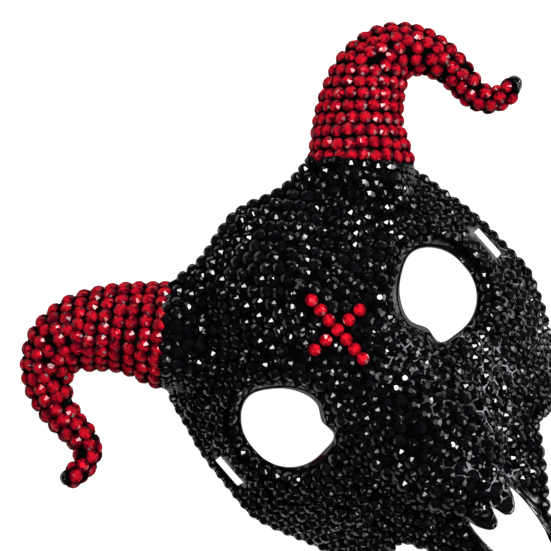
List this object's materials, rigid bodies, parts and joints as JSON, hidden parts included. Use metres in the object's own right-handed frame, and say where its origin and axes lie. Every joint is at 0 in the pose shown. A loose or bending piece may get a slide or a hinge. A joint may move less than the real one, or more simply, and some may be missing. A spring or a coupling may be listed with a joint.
{
  "type": "skull masquerade mask",
  "caption": "Horned animal skull half mask to tie over the face, covered in black rhinestones, with curled red horns and a red cross on the forehead.",
  "frame": {"origin": "middle of the mask's width and length, on the surface that it lies on", "axes": "+X to the mask's right side as it is looked at, +Y up the face to the forehead and horns, +Z out of the face"},
  "size_m": [0.2554, 0.2067, 0.0665],
  "materials": {
    "shell": "glossy black lacquer over moulded plastic, covered in black resin rhinestones",
    "horn": "glossy black moulded plastic covered in foil-backed red resin rhinestones",
    "red_stone": "clear red faceted resin over a mirror foil back"
  },
  "bodies": {
    "root": {"mask_shell": "shell", "horn_right": "horn", "horn_left": "horn", "cross_stone_01": "red_stone", "cross_stone_02": "red_stone", "cross_stone_03": "red_stone", "cross_stone_04": "red_stone", "cross_stone_05": "red_stone", "cross_stone_06": "red_stone", "cross_stone_07": "red_stone", "cross_stone_08": "red_stone", "cross_stone_09": "red_stone", "cross_stone_10": "red_stone", "cross_stone_11": "red_stone"}
  },
  "joints": []
}
